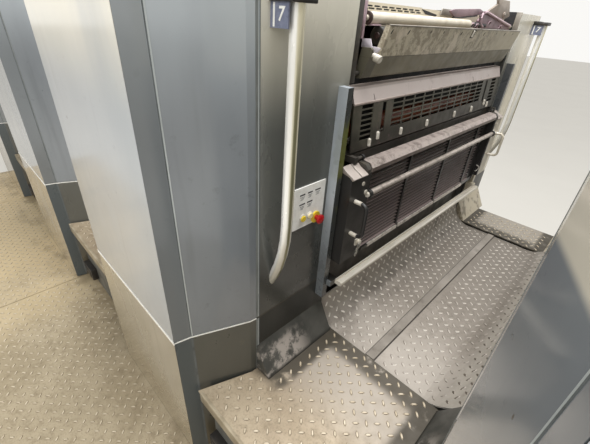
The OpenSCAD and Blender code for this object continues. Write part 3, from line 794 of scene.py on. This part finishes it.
RAIL_Y = 892              # centre of each handrail
TAG_FRONT = 28            # tags stand this far to the operator side of their handrail
PLATE = HALF + 4          # face of the push-button plates, from the unit's middle


def number_signs():
    """Unit numbers and a light band on the tags, and the dark covers over the rail brackets."""
    covers, bands = shapes(2)
    for number, cx in UNITS.items():
        for side in SIDES:
            x, y = cx + HALF, side * RAIL_Y
            face = y - TAG_FRONT
            covers.box(x + 0.5, x + 66, y - 34, y + 34, 1420.6, 1435)
            covers.box(x + 0.5, x + 30, y - 30, y + 30, 1434, 1437.5)
            bands.box(x + 8, x + 13, face - 0.5, face + 1, 1379, 1419)
            curve = bpy.data.curves.new(f"digit_{number}", "FONT")
            curve.body = str(number)
            curve.size, curve.offset, curve.extrude, curve.shear = 0.034, 0.0006, 0.0004, 0.12
            curve.align_x = curve.align_y = "CENTER"
            text = bpy.data.objects.new("digit_curve", curve)
            mesh = bpy.data.meshes.new_from_object(text)
            bpy.data.objects.remove(text)
            mesh.materials.clear()
            mesh.materials.append(M["digit_white"])
            obj = add_object(f"unit{number}_digit_{'operator' if side < 0 else 'drive'}", mesh)
            obj.matrix_world = Matrix((
                (1, 0, 0, (x + 30) * MM), (0, 0, -1, (face - 0.3) * MM),
                (0, 1, 0, (DECK + 1400) * MM), (0, 0, 0, 1),
            ))
            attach(obj, "press_frame")
    covers.make("bracket_covers", "small_black_parts", bevel=2)
    bands.make("tag_bands", "digit_white")


def control_plate_marks():
    """Plain bars with fainter ticks under them, over the buttons."""
    marks, faint = shapes(2)
    bars = [(971, -803, -782), (971, -771, -751), (971, -740, -717),
            (941, -803, -780), (941, -772, -749)]
    for cx, (h, y0, y1) in itertools.product(UNITS.values(), bars):
        x = cx + PLATE
        marks.box(x - 0.5, x + 0.4, y0, y1, h - 2, h + 2)
        for k, (a, b) in enumerate(((0.1, 0.9), (0.25, 0.8), (0.15, 0.7))):
            top = h - 6.4 - 4 * k
            faint.box(x - 0.5, x + 0.3, y0 + (y1 - y0) * a, y0 + (y1 - y0) * b, top - 1.6, top)
    marks.make("control_marks", "mark_black")
    faint.make("control_ticks", "mark_gray")


def push_buttons():
    """Yellow and cream push buttons in bezels, and the red mushroom on its yellow disc."""
    row, stop_y, stop = 894, -730, 879
    yellow, cream, red, bezel = shapes(4)
    for cx in UNITS.values():
        x = cx + PLATE
        for cap, y in ((yellow, -787), (cream, -757)):
            bezel.rod((x - 0.5, y, row), (x + 4, y, row), 12, 1.2, 28)
            cap.rod((x, y, row), (x + 8, y, row), 9.6, 1.5, 28)
        yellow.rod((x - 0.5, stop_y, stop), (x + 4.5, stop_y, stop), 19, 1.2, 32)
        mushroom = [(4, 8), (15, 8), (16, 13), (19, 15), (24, 15), (27, 12), (28, 7)]
        red.tube([(x + d, stop_y, stop) for d, _ in mushroom], [radius for _, radius in mushroom], 32)
    group = [yellow.make("buttons_yellow", "button_yellow"),
             cream.make("buttons_cream", "button_cream"),
             red.make("buttons_stop", "button_red"),
             bezel.make("button_bezels", "pin_white")]
    for obj in group:
        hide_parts("panel_buttons")


def step_details():
    """Worn nosing of each step and a small sensor box at the riser's foot."""
    nosing, boxes = shapes(2)
    y = 39 - PRESS
    for x0 in GAPS:
        profile = [(y - 1.2, STEP - 40), (y + 1, STEP - 40), (y + 1, STEP - 1), (y + 9, STEP - 1),
                   (y + 9, STEP + 0.7), (y + 1.5, STEP + 1), (y - 0.6, STEP), (y - 1.2, STEP - 3)]
        nosing.facing(profile, x0 - 46, x0 + GAP + 46)
        boxes.box(x0 - 40, x0 + 80, -1138, -1104, 44, 114)
        boxes.box(x0 - 24, x0 + 62, -1141, -1134, 58, 100)
    nosing.make("step_nosings", "step_nosing", bevel=0.4)
    boxes.make("sensor_boxes", "small_black_parts", bevel=2.5)


def board_details():
    """Light rims on the ends of the footboards and the shadow lines beside their joint bars."""
    rims, lines, gaps = shapes(3)
    top = board_profile()
    for x0 in GAPS:
        rim = [(x0 + x, h + 0.6) for x, h in top] + [(x0 + x, h - 6) for x, h in reversed(top)]
        for side in SIDES:
            rims.across(rim, side * 627.6, side * 629.2)
            gaps.box(x0 + 24, x0 + GAP - 40, side * 628, side * 632.6, 338, 345)
        lines.box(x0 + 255, x0 + 258.4, 14 - INNER, INNER - 14, 347, 348.5)
        lines.box(x0 + 220.2, x0 + 222.4, 14 - INNER, INNER - 14, 355, 356.3)
    rims.make("footboard_rims", "board_rim")
    lines.make("joint_bar_lines", "guard_dark")
    gaps.make("footboard_gap_strips", "board_joint_strip")


# ---------------- guards
FLAP_FOLD, FLAP_TOP = Vector((380, 1314)), Vector((398, 1391))


def on_leaf(f, out):
    """Point of the flap's upper leaf, f along it from the fold, out in front of it."""
    d = FLAP_TOP - FLAP_FOLD
    return tuple(FLAP_FOLD + d * f + Vector((d.y, -d.x)).normalized() * out)


def leaf_plate(shape, ring, out):
    """Thin plate on the upper leaf, through points given along it and across."""
    layers = [[(*on_leaf(f, o), y) for f, y in ring] for o in (-1, out)]
    shape.loft([[(x, y, h) for x, h, y in layer] for layer in layers])


def leaf_slot(shape, y, width, f0, f1, slant):
    """Dark lens-shaped slot on the upper leaf."""
    turns = [2 * math.pi * k / 12 for k in range(12)]
    leaf_plate(shape, [((f0 + f1) / 2 + (f1 - f0) / 2 * math.sin(a),
                        y + width / 2 * math.cos(a) + slant * math.sin(a)) for a in turns], 0.5)


def flap_pieces(unit):
    """Slots, notch, pins, knob, end plate and top edge of the flap."""
    slots, pins, plate, edge = shapes(4)
    for y in (-512, -423, -60, 156, 394):
        leaf_slot(slots, y, 5, 0.72, 0.88, 3)
    for y in (-289, -200, 290, 500):
        leaf_slot(slots, y, 4, 0.78, 0.87, 2)
    leaf_plate(slots, [(0.62, 30), (1, 33), (1, 62), (0.62, 56)], 0.6)      # the notch
    slots.make("flap_slots", "slot_black", unit, "flap")
    a, b = on_leaf(0.66, 3), on_leaf(0.95, 3)
    pins.rod((a[0], 37, a[1]), (b[0], 39, b[1]), 3.2, 1.2)
    pins.rod((371.5, -550, 1315.1), (397, -550, 1308.8), 10.2, 1.5, 24)
    pins.make("flap_pins", "pin_white", unit, "flap")
    plate.across([(337, 1335), (338, 1356), (365, 1357), (372, 1340), (399, 1338), (397, 1331),
                  (389, 1324), (380, 1327), (372, 1335)], -563, -560)
    plate.make("flap_end_plate", "bracket_lavender", unit, "flap", bevel=0.6)
    rim = [(0.97, 0.8), (1.015, 0.8), (1.015, -4.5), (0.99, -4.5)]
    edge.across([on_leaf(f, out) for f, out in rim], -530, 589)
    edge.make("flap_edge", "cover_gray_metal", unit, "flap", bevel=0.5)


def vent_pieces(unit):
    """Pegs on the vented face, short seams in its hood and the folded lip."""
    pegs, seams, lip = shapes(3)
    for y, h in ((-464, 1084), (-509, 1070), (-318, 1074), (-125, 1073),
                 (125, 1073), (313, 1071), (464, 1084), (509, 1070)):
        x = 371 + 9 * (1190 - h) / 138
        pegs.rod((x + 2.5, y, h - 13), (x + 1, y, h + 13), 6, 3, 14)
    pegs.make("vent_pegs", "pin_white", unit, "vent_guard")
    for y in (-505, 255):
        ring = [(365.5, y, 1213), (372.2, y + 3, 1194.4), (372.2, y + 5, 1194.4), (365.5, y + 2, 1213)]
        seams.loft([[(x + d, v, h + e) for x, v, h in ring] for d, e in ((-0.6, -0.4), (0.25, 0.1))])
    seams.make("hood_seams", "clamp_brown", unit, "vent_guard")
    lip.across([(371, 1196), (373.2, 1194.5), (372.6, 1189), (370.2, 1189)], -603, 603)
    lip.make("hood_lip", "hood_lip", unit, "vent_guard", bevel=0.5)


def grille_pieces(unit):
    """Hood end caps, sheet tops of the end boxes, bolts, latch with its chain, and hook."""
    dark, bright, chain, tops = shapes(4)
    cap = [(396, 1029), (426, 1026), (438, 1012), (438, 999), (404, 999)]
    sheet = [(393, 1026), (396, 1027), (412, 1016), (430, 1008), (442, 1001), (442, 998.5), (436, 994.5),
             (426, 1002.5), (393, 1010.5)]
    for s in SIDES:
        dark.across(cap, s * 560, s * 577)
        bright.rod((436, s * 592, 972), (440, s * 592, 972), 7, 1.2)
        bright.rod((436, s * 572, 938), (441, s * 572, 938), 8, 1.5)
        bright.rod((440, s * 558, 927), (440, s * 566, 927), 9.5, 2)
        tops.across(sheet, s * 579, s * 610)
        tops.across(sheet, s * 614, s * 651)
        for h in (805, 920):
            bright.rod((435.5, s * 620, h), (462, s * 620, h), 6.8, 0.8)
    bright.box(435, 441, -582, -552, 738, 762)
    bright.rod((438, -566, 750), (450, -566, 750), 8, 2)
    turns = [2 * math.pi * k / 14 for k in range(15)]
    chain.tube([(449, -573 + 7 * math.cos(a), 738 + 9 * math.sin(a)) for a in turns], 2.6, 8)
    for q in range(3):      # links, each turned from the one above
        ring = []
        for k in range(13):
            a = 2 * math.pi * k / 12
            w = 3.6 * math.cos(a)
            dx, dy = (w, 0) if q % 2 else (0, w)
            ring.append((446 + dx, -576 - 1.5 * q + dy, 723 - 10 * q + 6.5 * math.sin(a)))
        chain.tube(ring, 2.1, 6)
    hook = [(437, 486, 770), (446, 490, 768), (450, 498, 758), (446, 504, 744), (440, 500, 734),
            (436, 492, 738)]
    chain.tube(hook, 3, 8)
    dark.make("grille_ends", "guard_dark", unit, "grille", bevel=0.8)
    bright.make("grille_bolts", "rail_aluminium", unit, "grille")
    chain.make("grille_chain", "rail_steel", unit, "grille")
    tops.make("box_tops", "box_top_gray", unit, "grille", bevel=0.6)


def roller_shields(unit):
    """Sheet in front of the inking rollers, seen between the flap and the vented guard."""
    shape = Shape()
    profile = [(286, 1268), (315, 1259), (319, 1250), (319, 1208), (317, 1208), (317, 1249),
               (313.5, 1257), (285, 1266)]
    shape.across(profile, -634, 634)
    for s in SIDES:
        shape.box(350, 353, s * 425, s * 574, 1048, 1196)
    shape.box(350, 353, -424, 424, 1152, 1196)
    shape.make("roller_shield", "slot_black", unit, bevel=0.4)


def duct_operator_end(unit):
    """Fixed strips, a dark block of painted shade in the gap beside the inner panel, plate and stub
    shaft behind the flap at the operator end.
    """
    dark, light, brown, mauve = shapes(4)
    # Painted shade: a dark block fills the shadow gap between the inner panel and the guard
    dark.box(350, 364, -637, -608, 1250, 1460)
    dark.rod((345, -505, 1363), (345, -400, 1363), 24, 2, 28)
    light.box(343, 347, -580, -571, 1356, 1442)
    light.box(330, 350, -541, -500, 1386.5, 1390)
    brown.rod((333, -548, 1404), (333, -541.5, 1404), 16.2, 1, 24)
    brown.rod((345, -508, 1363), (345, -500, 1363), 9, 1.5)
    brown.box(338, 342, -570, -562, 1388, 1426)
    brown.box(339.4, 340.4, -604, -582, 1371, 1374)
    mauve.box(316, 340, -604, -582, 1360, 1388)
    dark.make("duct_dark_parts", "guard_dark", unit, bevel=0.8)
    light.make("duct_light_parts", "mauve_light", unit, bevel=0.5)
    brown.make("duct_brown_parts", "clamp_brown", unit)
    mauve.make("duct_clamp", "mauve_metal", unit, bevel=1)


def duct_drive_end(unit):
    """Beam, box plate, rails and rising casting of the duct drive, behind the flap."""
    beam, rail, dark, taupe, light = shapes(5)
    beam.facing([(-46, 1441), (-8, 1448), (220, 1459), (270, 1450), (206, 1437), (53, 1426),
                 (-2, 1424)], 322, 330)
    beam.facing([(212, 1438), (261, 1445), (594, 1408), (609, 1395), (609, 1384), (254, 1384)], 334, 340)
    beam.facing([(270, 1384), (596, 1384), (596, 1330), (540, 1322), (300, 1322)], 318, 322)
    dark.facing([(-2, 1423.6), (53, 1425.6), (206, 1436.6), (206, 1433), (53, 1421.5),
                 (-2, 1420)], 321, 331)
    dark.rod((326, 302, 1404), (334.5, 302, 1404), 6, 0.8)
    dark.box(340, 341, 280, 560, 1391, 1394)
    dark.rod((333, 136, 1404), (333, 300, 1404), 9.5, 1)
    dark.box(296.2, 297.2, -519, -199, 1421, 1439)
    dark.facing([(-192, 1439), (-72, 1426), (-84, 1421), (-160, 1425)], 295, 296.8)
    rail.tube([(342, 236, 1447), (342, 262, 1450), (342, 420, 1430), (342, 598, 1409)], 5.5, 12)
    rail.tube([(338, 240, 1446), (340, 226, 1428), (341, 236, 1408), (341, 262, 1398)], 4.5, 12)
    for y, h in ((150, 1404), (196, 1402), (330, 1416), (470, 1402)):
        clip = [(339, y - 12, h - 6), (344, y - 6, h + 5), (344, y + 8, h + 5), (339, y + 14, h - 7)]
        rail.tube(clip, 2.6, 10)
    taupe.facing([(298, 1452), (400, 1486), (386, 1499), (390, 1503), (529, 1503), (585, 1446),
                  (507, 1429), (382, 1444)], 322, 332)
    taupe.rod((318, 500, 1450), (337, 500, 1450), 12, 2)
    light.box(344, 369, 636, 639.5, 1392, 1466)
    light.facing([(-60, 1427), (60, 1427), (50, 1447), (-50, 1447)], 299, 302)
    light.rod((336, 500, 1450), (341, 500, 1450), 5, 1)
    dark.box(300, 343.6, 636, 639.5, 1392, 1466)
    beam.make("duct_beam", "mauve_metal", unit, bevel=0.8)
    rail.make("duct_rails", "mauve_light", unit)
    dark.make("duct_shadow_lines", "mark_black", unit)
    taupe.make("duct_casting", "duct_taupe", unit, bevel=1.2)
    light.make("duct_plates", "cover_gray_metal", unit, bevel=0.5)


for build in (gallery_lugs, step_lugs, board_lugs, fold_lines, seam_lips, number_signs, board_details,
              control_plate_marks, push_buttons, step_details):
    build()
for unit in UNITS:
    for build in (flap_pieces, vent_pieces, grille_pieces, roller_shields, duct_operator_end,
                  duct_drive_end):
        build(unit)


# ---------------- camera, light, floor
EYE = (1.6025, -1.4285, 1.7036)
YAW, PITCH_DOWN, ROLL = (math.radians(a) for a in (43.27, 31.3, 3.81))
FOCAL, PHOTO_WIDTH = 343, 590  # both in pixels


def camera():
    """The photo's camera, solved from its vanishing points."""
    forward = Vector((-math.sin(YAW) * math.cos(PITCH_DOWN), math.cos(YAW) * math.cos(PITCH_DOWN),
                      -math.sin(PITCH_DOWN)))
    level_right = Vector((math.cos(YAW), math.sin(YAW), 0))
    level_up = level_right.cross(forward)
    right = level_right * math.cos(ROLL) + level_up * math.sin(ROLL)
    up = level_up * math.cos(ROLL) - level_right * math.sin(ROLL)
    data = bpy.data.cameras.new("photo_camera")
    data.sensor_width = 36
    data.lens = data.sensor_width * FOCAL / PHOTO_WIDTH
    data.clip_start, data.clip_end = 0.02, 200
    cam = add_object("photo_camera", data)
    cam.matrix_world = Matrix((*zip(right, up, -forward, EYE), (0, 0, 0, 1)))
    bpy.context.scene.camera = cam


def area_light(name, place, target, size, power):
    data = bpy.data.lights.new(name, "AREA")
    data.shape, data.size, data.energy = "SQUARE", size, power
    lamp = add_object(name, data)
    lamp.location = place
    lamp.rotation_euler = (Vector(target) - Vector(place)).to_track_quat("-Z", "Y").to_euler()


def sky():
    """Soft light from all round, and a paler backdrop where it is seen directly or mirrored."""
    world = bpy.data.worlds.new("studio_world")
    bpy.context.scene.world = world
    world.use_nodes = True
    tree = world.node_tree
    tree.nodes.clear()
    lit = add_node(tree, "ShaderNodeBackground", {"Color": (1, 0.985, 0.96, 1), "Strength": 0.58})
    seen = add_node(tree, "ShaderNodeBackground", {"Color": (0.96, 0.95, 0.92, 1), "Strength": 1})
    ray = add_node(tree, "ShaderNodeLightPath", {}).outputs
    share = ray["Is Camera Ray"]
    for kind in ("Is Glossy Ray", "Is Transmission Ray"):
        either = add_node(tree, "ShaderNodeMath", {0: share, 1: ray[kind]}, operation="MAXIMUM")
        share = either.outputs[0]
    mix = add_node(tree, "ShaderNodeMixShader", {"Fac": share, 1: lit.outputs[0], 2: seen.outputs[0]})
    add_node(tree, "ShaderNodeOutputWorld", {"Surface": mix.outputs[0]})


def studio_floor():
    """Pale floor, evened out where the camera sees it."""
    s = Surface("studio_floor", (221, 218, 210), (217, 214, 206), 1.2, detail=3, specular=0.2)
    s.done(s.noise(6), 0.64, 0.72)
    pale = s.node("ShaderNodeEmission", {"Color": linear((230, 227, 219))})
    camera_ray = s.node("ShaderNodeLightPath", {}, "Is Camera Ray")
    share = s.calc("MULTIPLY", camera_ray, 0.5)
    seen = s.node("ShaderNodeMixShader", {"Fac": share, 1: s.bsdf.outputs["BSDF"], 2: pale})
    join(s.tree, s.tree.nodes["Material Output"], {"Surface": seen})
    mesh = bpy.data.meshes.new("studio_floor")
    reach = 30
    mesh.from_pydata([(-reach, -reach, 0), (reach, -reach, 0), (reach, reach, 0), (-reach, reach, 0)],
                     [], [(0, 1, 2, 3)])
    mesh.materials.append(s.mat)
    floor = add_object("studio_floor", mesh)


camera()
sky()
area_light("key", (1.5, -4.5, 4.5), (0.4, 0, 0.8), 4, 150)
area_light("top", (1.2, -0.2, 5), (1.2, -0.1, 0.5), 2.6, 260)
studio_floor()
bpy.context.scene.view_settings.view_transform = "Standard"
